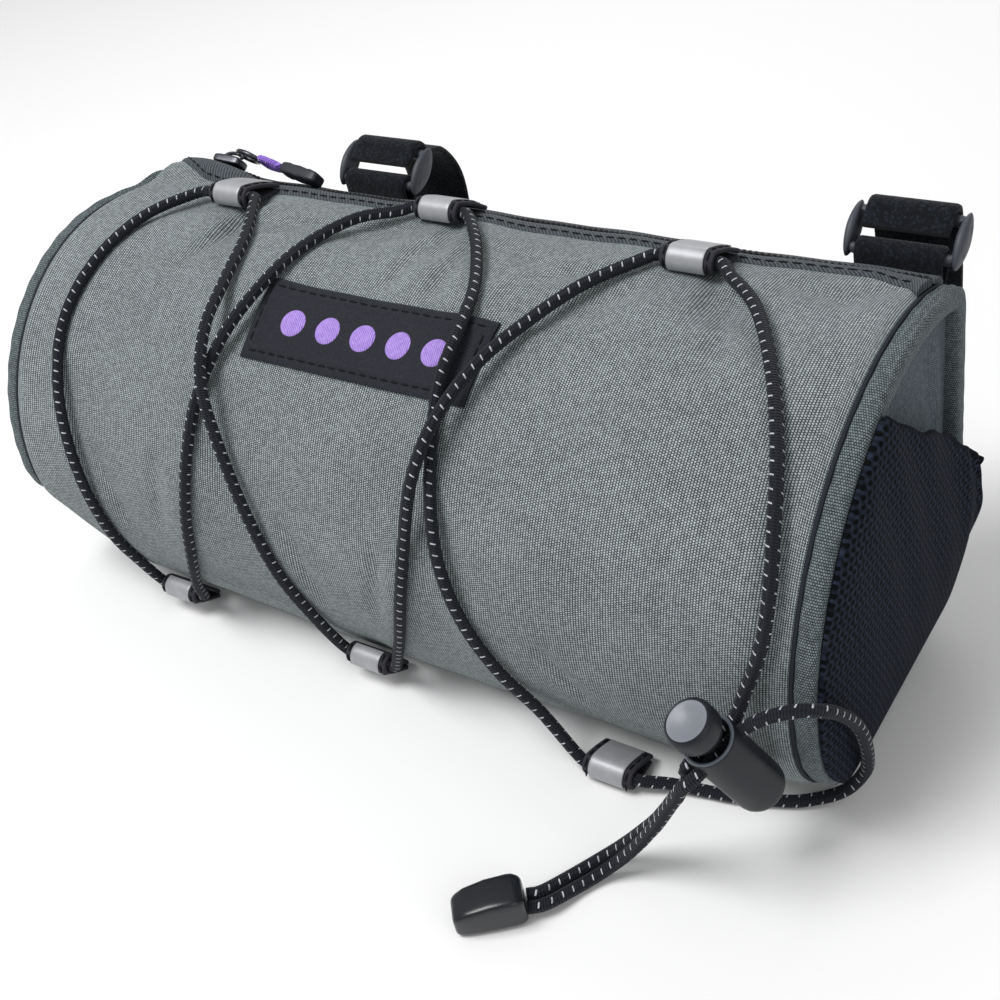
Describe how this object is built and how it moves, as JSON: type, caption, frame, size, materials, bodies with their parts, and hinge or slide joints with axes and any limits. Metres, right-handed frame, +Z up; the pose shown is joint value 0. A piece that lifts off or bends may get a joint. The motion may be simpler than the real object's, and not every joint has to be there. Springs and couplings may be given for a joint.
{
  "type": "bicycle handlebar bag",
  "caption": "Soft loaf-shaped roll bag with a zip along its top, a mesh end pocket, laced bungee cord with a sprung cord lock, and two strap loops for a handlebar.",
  "frame": {"origin": "on the flat underside, straight below the axis of the round front and top, midway between the end seams", "axes": "+X along the bag to the wearer's right, +Y to the back panel and the handlebar, +Z up"},
  "size_m": [0.2485, 0.1671, 0.1043],
  "materials": {
    "bag_fabric": "coated woven polyester, grey-green melange",
    "zip_tape": "ribbed tape",
    "zip_coil": "nylon coil",
    "dark_metal": "gunmetal",
    "purple_cord": "braided",
    "black_moulding": "moulded, satin",
    "piping": "woven binding over a cord",
    "end_fabric": "woven polyester",
    "navy_mesh": "eyelet mesh",
    "label": "woven, bare",
    "webbing": "woven webbing",
    "reflective": "silver reflective tape",
    "bungee": "braided sleeve with pale flecks",
    "lock_plastic": "moulded, satin",
    "strap": "loop fastener pile",
    "ring_plastic": "moulded"
  },
  "bodies": {
    "bag": {"body_panel": "bag_fabric", "zip_tape_front": "zip_tape", "zip_tape_rear": "zip_tape", "zip_coil": "zip_coil", "zip_slider": "dark_metal", "pull_ring": "dark_metal", "pull_loop": "purple_cord", "pull_grip": "black_moulding", "piping_left": "piping", "piping_right": "piping", "end_panel_left": "end_fabric", "end_panel_right": "end_fabric", "mesh_pocket": "navy_mesh", "label_patch": "label", "top_loop_left": "webbing", "top_loop_middle": "webbing", "top_loop_right": "webbing", "bottom_loop_left": "webbing", "bottom_loop_middle": "webbing", "bottom_loop_right": "webbing", "top_strip_left": "reflective", "top_strip_middle": "reflective", "top_strip_right": "reflective", "bottom_strip_left": "reflective", "bottom_strip_middle": "reflective", "bottom_strip_right": "reflective", "bungee_lacing": "bungee", "tail_strand_a": "bungee", "tail_strand_b": "bungee", "cord_end": "black_moulding", "lock_body": "lock_plastic", "strap_left": "strap", "strap_right": "strap", "strap_tab_left": "strap", "strap_tab_right": "strap", "buckle_left": "ring_plastic", "buckle_right": "ring_plastic"},
    "lock_button": {"lock_button": "lock_plastic"}
  },
  "joints": [
    {"name": "lock_button_slide", "type": "slide", "parent": "bag", "child": "lock_button", "axis": [0.2761, 0.3571, -0.8923], "range_m": [0, 0.003], "stiffness_N_per_m": 1500}
  ]
}
